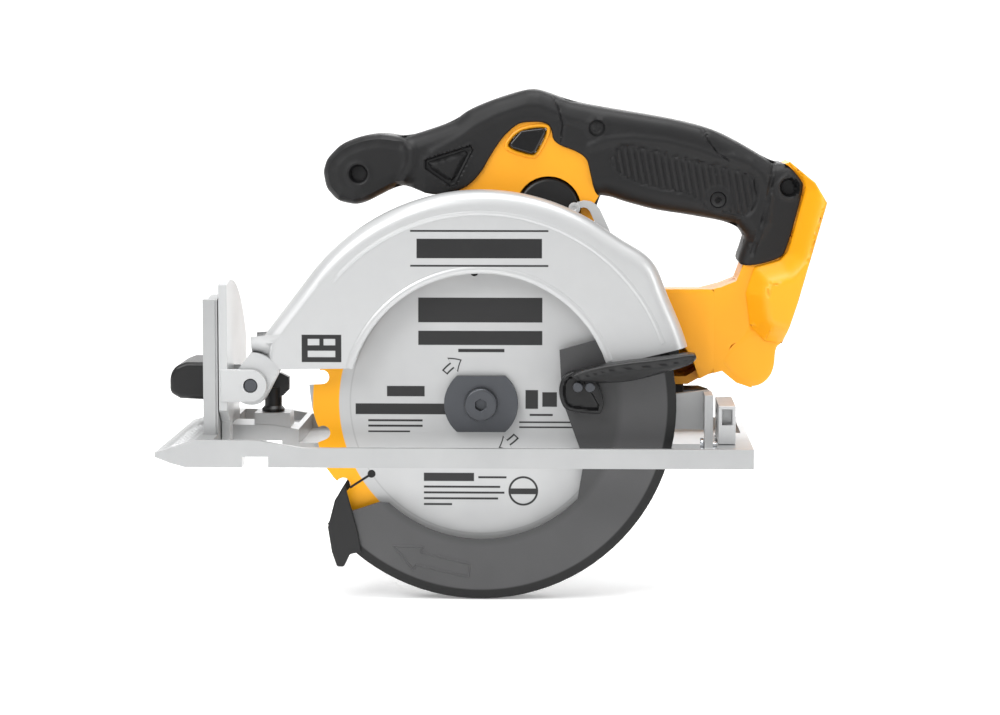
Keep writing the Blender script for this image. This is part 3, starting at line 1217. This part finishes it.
CAVITY_LOOP = mm([
    (-6.0, 157.4), (6.5, 164.8), (21.5, 169.4), (26.9, 169.2), (39.8, 164.2), (54.5, 161.2),
    (89.2, 155.6), (107.4, 151.1), (119.8, 144.9), (135.0, 135.8), (144.2, 127.0), (146.2, 118.0),
    (132.6, 70.0), (130.0, 42.0), (122.0, 40.0), (114.0, 44.0), (106.0, 42.0), (98.0, 37.0),
    (66.0, 37.0), (50.0, 44.0), (46.0, 74.0), (40.0, 96.0), (-18.0, 98.0), (-18.0, 126.0),
])
CAVITY_ISLAND = offset(HAND_OPENING, SHELL_WALL)
SLOPE = (Vector((163.8, 121.5)) - Vector((150.3, 73.6))).normalized()
RAIL_ANGLE = atan2(SLOPE.y, SLOPE.x)
RAIL_MIDDLE = Vector((157.05 * MM, out(HANDLE_MIDDLE), 97.55 * MM))
DOME = mm([(31.5, 118.0)])[0]
LOCK_OFF = mm([
    (12.2, 149.2), (17.9, 155.8), (29.4, 157.3), (30.8, 154.9), (25.6, 144.9), (23.2, 143.9),
    (13.6, 146.8),
])
TRIGGER_PIVOT = mm([(46.0, 143.0)])[0]
LEVER_POCKET = mm([(40.0, 25.0), (111.0, 25.0), (111.0, 79.5), (40.0, 79.5)])
HANDLE_SCREWS = mm([(54.6, 156.7), (112.7, 122.6), (122.3, 50.2)])
HORN_HOLE = mm([(-59.7, 134.8)])[0]


def rail_block(name, low, high):
    """A cutter in the battery rails' own frame: along the rear face, across, and into the body."""
    made = block(name, low, high, None, CUTTERS)
    centre = (Vector(low) + Vector(high)) / 2
    made.matrix_world = (
        Matrix.Translation(RAIL_MIDDLE) @ Matrix.Rotation(-RAIL_ANGLE, 4, "Y") @ Matrix.Translation(centre)
    )
    return made


def side_levels(side, half_width):
    """The low and high Y of one half of the handle, from the split plane outwards."""
    middle = out(HANDLE_MIDDLE)
    if side < 0:
        return middle - half_width, middle - GAP / 2
    return middle + GAP / 2, middle + half_width


def make_body_shell(name, side):
    """One half of the moulded body: neck, handle core, battery receiver and lower beam round the
    hand opening, hollow inside."""
    low, high = side_levels(side, HANDLE_HALF_WIDTH)
    shell = plate(name, [BODY_LOOP, HAND_OPENING], low, high, "XZ", YELLOW_PLASTIC)
    tag = "left" if side < 0 else "right"
    flare_low, flare_high = (level - out(HANDLE_MIDDLE) for level in side_levels(side, RECEIVER_HALF_WIDTH))
    flare = rail_block(
        "%s_receiver_flare" % tag, (-48 * MM, flare_low, 0), (24.6 * MM, flare_high, RECEIVER_DEPTH),
    )
    join(shell, flare)
    wall = SHELL_WALL
    inner_low = low + wall if side < 0 else low - CUT
    inner_high = high + CUT if side < 0 else high - wall
    cavity = plate(
        "%s_cavity" % tag, [CAVITY_LOOP, CAVITY_ISLAND], inner_low, inner_high, "XZ", None, CUTTERS,
    )
    motor = rod(
        "%s_motor_room" % tag, MOTOR_RADIUS + GAP, (MOTOR_X, out(0), MOTOR_Z),
        (MOTOR_X, out(MOTOR_END), MOTOR_Z), None, CUTTERS, 56,
    )
    across = RAIL_CHANNEL_HALF_WIDTH
    channel = rail_block(
        "%s_rail_channel" % tag, (-80 * MM, -across, -CUT), (80 * MM, across, RAIL_CHANNEL_DEPTH),
    )
    groove = rail_block(
        "%s_rail_groove" % tag, (-80 * MM, -across - RAIL_GROOVE_DEPTH, RAIL_LIP),
        (16 * MM, across + RAIL_GROOVE_DEPTH, RAIL_CHANNEL_DEPTH),
    )
    stem = rod(
        "%s_stem_room" % tag, DOME_STEM_RADIUS + GAP, (DOME[0], out(DOME_OUT), DOME[1] - 40 * MM),
        (DOME[0], out(DOME_OUT), DOME[1]), None, CUTTERS, 16,
    )
    dome = rod(
        "%s_dome_room" % tag, DOME_RADIUS + GAP, (DOME[0], out(HANDLE_FACE - CUT), DOME[1]),
        (DOME[0], out(DOME_OUT + DOME_HALF_WIDTH + 1.2 * MM), DOME[1]), None, CUTTERS, 32,
    )
    room = TRIGGER_HALF_WIDTH + TRIGGER_CLEARANCE
    trigger = block(
        "%s_trigger_slot" % tag, (36 * MM, out(HANDLE_MIDDLE) - room, 112 * MM),
        (60 * MM, out(HANDLE_MIDDLE) + room, 149 * MM), None, CUTTERS,
    )
    button = plate(
        "%s_button_hole" % tag, [offset(LOCK_OFF, GAP)], out(0), out(80 * MM), "XZ", None, CUTTERS,
    )
    pieces = [cavity, motor, channel, groove, dome, stem, trigger, button]
    if side < 0:
        pieces.append(plate(
            "lever_pocket", [LEVER_POCKET], out(0), out(DEPTH_LEVER_FAR + 0.5 * MM), "XZ", None, CUTTERS,
        ))
    cut(shell, *pieces)
    screw_cuts(shell, tag + "_shell", side)
    return shell


SCREW_SEAT = HANDLE_FACE + 1.3 * MM
COVER_FACE = HANDLE_FACE - OVERMOULD_SKIN - GAP
SCREW_END = HANDLE_MIDDLE + 14.0 * MM


def screw_cuts(target, tag, side):
    """Clearance holes for the handle screws, with seats for their heads in the left half."""
    for number, (x, z) in enumerate(HANDLE_SCREWS):
        cut(target, rod(
            "%s_screw_bore_%d" % (tag, number), HANDLE_SCREW_RADIUS + GAP, (x, out(COVER_FACE - CUT), z),
            (x, out(SCREW_END + 10.0 * MM), z), None, CUTTERS, 12,
        ))
        if side < 0:
            cut(target, rod(
                "%s_screw_head_%d" % (tag, number), HANDLE_SCREW_HEAD + GAP, (x, out(COVER_FACE - CUT), z),
                (x, out(SCREW_SEAT + GAP), z), None, CUTTERS, 16,
            ))


def make_overmould(name, side):
    """One half of the soft grip cover moulded over the handle core."""
    tag = "left" if side < 0 else "right"
    low, high = side_levels(side, HANDLE_HALF_WIDTH + OVERMOULD_SKIN + GAP)
    cover = plate(name, [OVERMOULD_LOOP], low, high, "XZ", BLACK_RUBBER)
    core_low, core_high = side_levels(side, HANDLE_HALF_WIDTH + GAP)
    extra_low = core_low if side < 0 else core_low - CUT
    extra_high = core_high + CUT if side < 0 else core_high
    room = plate(
        "%s_core_room" % tag, [offset(BODY_LOOP, GAP)], extra_low, extra_high, "XZ", None, CUTTERS,
    )
    flare = rail_block(
        "%s_cover_flare" % tag, (-80 * MM, -RECEIVER_HALF_WIDTH - 10 * MM, -CUT),
        (60 * MM, RECEIVER_HALF_WIDTH + 10 * MM, RECEIVER_DEPTH + GAP),
    )
    x, z = HORN_HOLE
    hole = rod(
        "%s_horn_hole" % tag, HORN_HOLE_RADIUS, (x, out(0), z), (x, out(80 * MM), z), None, CUTTERS, 20,
    )
    cut(cover, room, flare, hole)
    if side < 0:
        cut(cover, plate(
            "depth_quadrant_room", [offset(depth_quadrant_loop(), GAP)], out(0),
            out(DEPTH_QUADRANT_NEAR + DEPTH_QUADRANT_THICK + GAP), "XZ", None, CUTTERS,
        ))
    screw_cuts(cover, tag + "_cover", side)
    return cover


def make_handle_screw(number):
    """A screw that holds the two halves together."""
    x, z = HANDLE_SCREWS[number]
    head = COVER_FACE + (1.4 if number < 2 else 2.8) * MM
    profile = [
        (0.0, SCREW_END), (HANDLE_SCREW_RADIUS, SCREW_END), (HANDLE_SCREW_RADIUS, SCREW_SEAT),
        (HANDLE_SCREW_HEAD, SCREW_SEAT), (HANDLE_SCREW_HEAD, head), (0.0, head),
    ]
    names = ("front", "rear", "lower")
    return turned("handle_screw_%s" % names[number], profile, (x, BLADE_PLANE_Y, z), DARK_STEEL, 16)


def make_trigger():
    """The trigger: a finger curl that swings forward about a pin at its top."""
    loop = mm([
        (42.0, 147.0), (49.0, 147.0), (52.3, 143.6), (55.0, 138.0), (56.4, 131.0), (56.6, 125.0),
        (54.6, 119.4), (52.0, 117.0), (50.5, 119.0), (51.0, 126.0), (47.0, 133.0), (42.0, 138.0),
    ])
    middle = out(HANDLE_MIDDLE)
    return plate(
        "trigger", [loop], middle - TRIGGER_HALF_WIDTH, middle + TRIGGER_HALF_WIDTH, "XZ", BLACK_PLASTIC,
    )


def make_lock_off_button():
    """The lock-off button, which slides across the neck from side to side."""
    reach = HANDLE_HALF_WIDTH + BUTTON_PROUD
    middle = out(HANDLE_MIDDLE)
    return plate(
        "lock_off_button", [offset(LOCK_OFF, -GAP)], middle - reach, middle + reach, "XZ", BLACK_PLASTIC,
    )


def make_spindle_lock():
    """The spindle lock button, a round-topped plunger over the gear case."""
    x, z = DOME
    loop = arc(DOME, DOME_RADIUS - GAP, 0, 180, 18)
    loop += [(x - DOME_RADIUS + 4 * MM, z - 6 * MM), (x + DOME_RADIUS - 4 * MM, z - 6 * MM)]
    button = plate(
        "spindle_lock_button", [loop], out(DOME_OUT - DOME_HALF_WIDTH), out(DOME_OUT + DOME_HALF_WIDTH),
        "XZ", BLACK_PLASTIC,
    )
    stem = rod(
        "spindle_lock_stem", DOME_STEM_RADIUS, (x, out(DOME_OUT), z - 5 * MM),
        (x, out(DOME_OUT), z - 24 * MM), None, CUTTERS, 16,
    )
    return join(button, stem)


def make_switch():
    """The trigger switch inside the handle."""
    middle = out(HANDLE_MIDDLE)
    half = 8 * MM
    return block(
        "trigger_switch", (62 * MM, middle - half, 130 * MM), (88 * MM, middle + half, 147 * MM),
        BLACK_PLASTIC,
    )


def make_terminal_block():
    """The battery terminal block between the rails, with two contact slots."""
    made = rail_block(
        "terminal_block", (-20 * MM, -TERMINAL_HALF_WIDTH, 2.5 * MM),
        (20 * MM, TERMINAL_HALF_WIDTH, RAIL_CHANNEL_DEPTH - GAP),
    )
    CUTTERS.objects.unlink(made)
    PARTS.objects.link(made)
    made.hide_render = False
    made.display_type = "TEXTURED"
    made.data.materials.clear()
    made.data.materials.append(BLACK_PLASTIC)
    for side in (-1, 1):
        slot = rail_block(
            "terminal_slot_%s" % ("left" if side < 0 else "right"),
            (-21 * MM, side * 7 * MM - 1 * MM, 1.0 * MM), (8 * MM, side * 7 * MM + 1 * MM, 6.5 * MM),
        )
        cut(made, slot)
    return made


def make_depth_bolt():
    """The stud fixed in the guard that runs in the depth quadrant's slot."""
    x, z = depth_bolt_place()
    return rod(
        "depth_stud", DEPTH_BOLT_RADIUS, (x, out(UPPER_GUARD_HALF_WIDTH - 1.2 * MM), z),
        (x, out(DEPTH_LEVER_FAR - 1.2 * MM), z),
        BRIGHT_STEEL, PARTS, 16,
    )


def make_depth_lever():
    """The clamping lever on the depth stud: a hub with an arm reaching up and rearward."""
    x, z = depth_bolt_place()
    tip = (x + DEPTH_LEVER_LENGTH * cos(radians(40)), z + DEPTH_LEVER_LENGTH * sin(radians(40)))
    loop = belt((x, z), 7.5 * MM, tip, 4.0 * MM, 10)
    hole = circle((x, z), DEPTH_BOLT_RADIUS + GAP, 16)
    near = out(DEPTH_LEVER_NEAR)
    return plate("depth_lever", [loop, hole], near, out(DEPTH_LEVER_FAR), "XZ", BLACK_PLASTIC)


def make_wrench():
    """The blade wrench clipped under the beam: a hexagon key with a short bent end."""
    curve = bpy.data.curves.new("blade_wrench", "CURVE")
    curve.dimensions = "3D"
    curve.bevel_depth = WRENCH_RADIUS
    curve.bevel_resolution = 1
    curve.use_fill_caps = True
    spline = curve.splines.new("POLY")
    y = out(HANDLE_MIDDLE)
    route = mm([(62.0, 29.0), (104.0, 29.6), (107.6, 28.6), (109.0, 25.4), (109.2, 18.0)])
    spline.points.add(len(route) - 1)
    for point, (x, z) in zip(spline.points, route):
        point.co = (x, y, z, 1.0)
    guide = bpy.data.objects.new("wrench_route", curve)
    bpy.context.scene.collection.objects.link(guide)
    bpy.context.view_layer.update()
    mesh = bpy.data.meshes.new_from_object(guide.evaluated_get(bpy.context.evaluated_depsgraph_get()))
    bm = bmesh.new()
    bm.from_mesh(mesh)
    bmesh.ops.remove_doubles(bm, verts=bm.verts, dist=0.000001)
    bmesh.ops.recalc_face_normals(bm, faces=bm.faces)
    bm.to_mesh(mesh)
    bm.free()
    mesh.materials.clear()
    bpy.data.objects.remove(guide, do_unlink=True)
    return link("blade_wrench", mesh, DARK_STEEL)


def make_wrench_clip():
    """The toothed clip under the beam that holds the wrench."""
    y = out(HANDLE_MIDDLE)
    inner = WRENCH_RADIUS / MM + 0.7
    outer = inner + 3.0
    half = [(outer, 32.6), (outer, 26.5), (inner + 0.2, 25.5), (inner, 31.8)]
    loop = [(y - across * MM, height * MM) for across, height in half]
    loop += [(y + across * MM, height * MM) for across, height in reversed(half)]
    return plate("wrench_clip", [loop], 76 * MM, 97 * MM, "YZ", BLACK_PLASTIC)


def make_pivot_pin():
    """The depth pivot pin through the ears and the guard."""
    head = EAR_OUTER + GAP
    profile = [
        (0.0, head), (PIVOT_PIN_RADIUS, head), (PIVOT_PIN_RADIUS, -head + 1.0 * MM),
        (0.0, -head + 1.0 * MM),
    ]
    return turned("depth_pivot_pin", profile, (PIVOT[0], BLADE_PLANE_Y, PIVOT[1]), DARK_STEEL, 24)


# ---------------------------------------------------------------- assembly
shoe = make_shoe()
make_bevel_quadrant()
seat_quadrant(shoe)
make_rear_hinge_bracket()
seat_rear_bracket(shoe)

fence_screw = make_fence_screw()
carry("fence_screw_axis", (FENCE_SCREW_X, FENCE_BLOCK_Y, FENCE_BLOCK_TOP), fence_screw)

tilting = [
    make_front_bracket(), make_bevel_bolt(), make_depth_quadrant(), make_pivot_pin(),
    make_hinge_pin("front_hinge_pin", QUADRANT_FRONT - GAP, BRACKET_REAR + 1.5 * MM),
    make_hinge_pin("rear_hinge_pin", FOOT_FRONT - GAP, REAR_EYE_BACK - 0.5 * MM),
]
carry("bevel_axis", (0.0, *BEVEL), *tilting)
carry("bevel_knob_axis", (QUADRANT_FRONT, *BEVEL_BOLT), make_bevel_knob())

spindle = make_spindle()
body = [
    make_upper_guard(), make_gear_case(), make_motor_housing(), make_end_cap(),
    make_body_shell("body_shell_left", -1), make_body_shell("body_shell_right", 1),
    make_overmould("grip_cover_left", -1), make_overmould("grip_cover_right", 1),
    make_handle_screw(0), make_handle_screw(1), make_handle_screw(2),
    make_switch(), make_terminal_block(), make_depth_bolt(), make_wrench(), make_wrench_clip(),
    make_bearing("front_spindle_bearing", AXIS, SPINDLE_RADIUS + GAP, *FRONT_BEARING),
    make_bearing("rear_spindle_bearing", AXIS, SPINDLE_TAIL_RADIUS + GAP, *REAR_BEARING),
    make_bearing(
        "front_motor_bearing", MOTOR_AXIS, SHAFT_RADIUS + GAP, CASE_END - 7 * MM, CASE_END,
        MOTOR_BEARING_RADIUS,
    ),
    make_bearing(
        "rear_motor_bearing", MOTOR_AXIS, SHAFT_RADIUS + GAP, MOTOR_END - 3 * MM, MOTOR_END + 3 * MM,
        MOTOR_BEARING_RADIUS,
    ),
    ring(
        "magnet_ring", DRUM_INNER - GAP, MAGNET_INNER, CORE_START, CORE_END, MOTOR_AXIS, MAGNET_IRON, 48,
    ),
    make_brush_holder("brush_holder_upper", 1), make_brush_holder("brush_holder_lower", -1),
]
carry("depth_axis", (PIVOT[0], BLADE_PLANE_Y, PIVOT[1]), *body)

turning = [
    make_blade(), make_flange("outer_flange", -1), make_flange("inner_flange", 1), make_blade_screw(),
    spindle, make_drive_gear(),
]
carry("blade_axis", AXIS, *turning)

rotor = [
    make_armature_shaft(), make_armature_core(), make_cooling_fan(),
    ring(
        "commutator", COMMUTATOR_RADIUS, SHAFT_RADIUS + GAP, COMMUTATOR_START, COMMUTATOR_END, MOTOR_AXIS,
        COPPER, 28,
    ),
]
carry("motor_axis", MOTOR_AXIS, *rotor)

guard = [make_lower_guard(), make_toe_bumper(), make_guard_lever(), make_lever_rivet(0), make_lever_rivet(1)]
carry("lower_guard_axis", AXIS, *guard)

carry("trigger_axis", (TRIGGER_PIVOT[0], out(HANDLE_MIDDLE), TRIGGER_PIVOT[1]), make_trigger())
carry("lock_off_axis", (LOCK_OFF[0][0], out(HANDLE_MIDDLE), LOCK_OFF[0][1]), make_lock_off_button())
carry("spindle_lock_axis", (DOME[0], out(DOME_OUT), DOME[1]), make_spindle_lock())
carry(
    "depth_lever_axis", (depth_bolt_place()[0], out(DEPTH_LEVER_NEAR), depth_bolt_place()[1]),
    make_depth_lever(),
)
